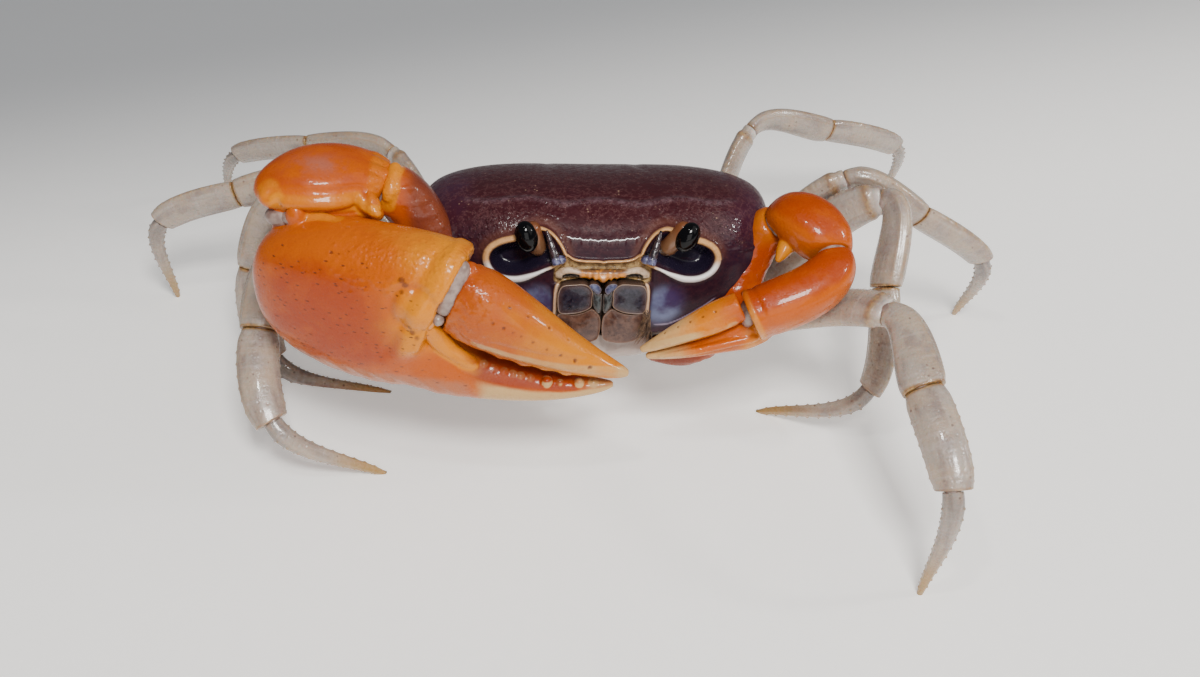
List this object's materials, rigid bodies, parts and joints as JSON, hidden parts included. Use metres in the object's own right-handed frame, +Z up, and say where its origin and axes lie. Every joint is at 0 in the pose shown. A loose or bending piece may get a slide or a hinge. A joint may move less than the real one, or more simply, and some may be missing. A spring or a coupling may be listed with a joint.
{
  "type": "freshwater crab, adult male Lacunipotamon albusorbitum, still life-size museum model standing on its legs",
  "caption": "Life-size freshwater crab standing on pale legs, with a large orange claw held across its front, a dark maroon shell and white-ringed eye sockets.",
  "frame": {"origin": "on the floor under the middle of the overall box, legs and claws included", "axes": "+Z up, the crab faces -Y, its own left side is +X"},
  "size_m": [0.0888, 0.0643, 0.0299],
  "materials": {
    "carapace": "wet glossy shell, dark maroon purple with violet sides, fine pits and pale specks",
    "rim": "smooth raised margin of the eye sockets, bright ivory white below, cream brown above",
    "socket": "wet membrane lining the eye sockets, near black with a blue purple gloss",
    "underside": "smooth shell, pale greyish ivory with brown seams",
    "mouth": "bluish purple wet shell with cream borders",
    "stalk": "orange brown and cream shell, semi gloss",
    "cornea": "black, smooth, high gloss",
    "claw": "deep orange shell with fine dark pits, semi gloss, yellow on ridges and towards the fingers",
    "finger": "orange to yellow shell with a row of dark dots, cream tip, semi gloss",
    "leg": "pale greyish lilac to ivory shell with brown specks and ochre joint margins, semi gloss",
    "membrane": "soft pale skin between the shell pieces, satin"
  },
  "bodies": {
    "root": {"carapace": "carapace", "sternum": "underside", "pleon": "underside", "maxilliped_left": "mouth", "eyestalk_left": "stalk", "cornea_left": "cornea", "antenna_left": "stalk", "cheliped_left_merus": "claw", "cheliped_left_carpus": "claw", "cheliped_left_palm": "claw", "cheliped_left_finger": "finger", "leg_left_1_coxa": "leg", "leg_left_1_merus": "leg", "leg_left_1_carpus": "leg", "leg_left_1_propodus": "leg", "leg_left_1_dactyl": "leg", "leg_left_2_coxa": "leg", "leg_left_2_merus": "leg", "leg_left_2_carpus": "leg", "leg_left_2_propodus": "leg", "leg_left_2_dactyl": "leg", "leg_left_3_coxa": "leg", "leg_left_3_merus": "leg", "leg_left_3_carpus": "leg", "leg_left_3_propodus": "leg", "leg_left_3_dactyl": "leg", "leg_left_4_coxa": "leg", "leg_left_4_merus": "leg", "leg_left_4_carpus": "leg", "leg_left_4_propodus": "leg", "leg_left_4_dactyl": "leg", "maxilliped_right": "mouth", "eyestalk_right": "stalk", "cornea_right": "cornea", "antenna_right": "stalk", "cheliped_right_merus": "claw", "cheliped_right_carpus": "claw", "cheliped_right_palm": "claw", "cheliped_right_finger": "finger", "leg_right_1_coxa": "leg", "leg_right_1_merus": "leg", "leg_right_1_carpus": "leg", "leg_right_1_propodus": "leg", "leg_right_1_dactyl": "leg", "leg_right_2_coxa": "leg", "leg_right_2_merus": "leg", "leg_right_2_carpus": "leg", "leg_right_2_propodus": "leg", "leg_right_2_dactyl": "leg", "leg_right_3_coxa": "leg", "leg_right_3_merus": "leg", "leg_right_3_carpus": "leg", "leg_right_3_propodus": "leg", "leg_right_3_dactyl": "leg", "leg_right_4_coxa": "leg", "leg_right_4_merus": "leg", "leg_right_4_carpus": "leg", "leg_right_4_propodus": "leg", "leg_right_4_dactyl": "leg"}
  },
  "joints": []
}
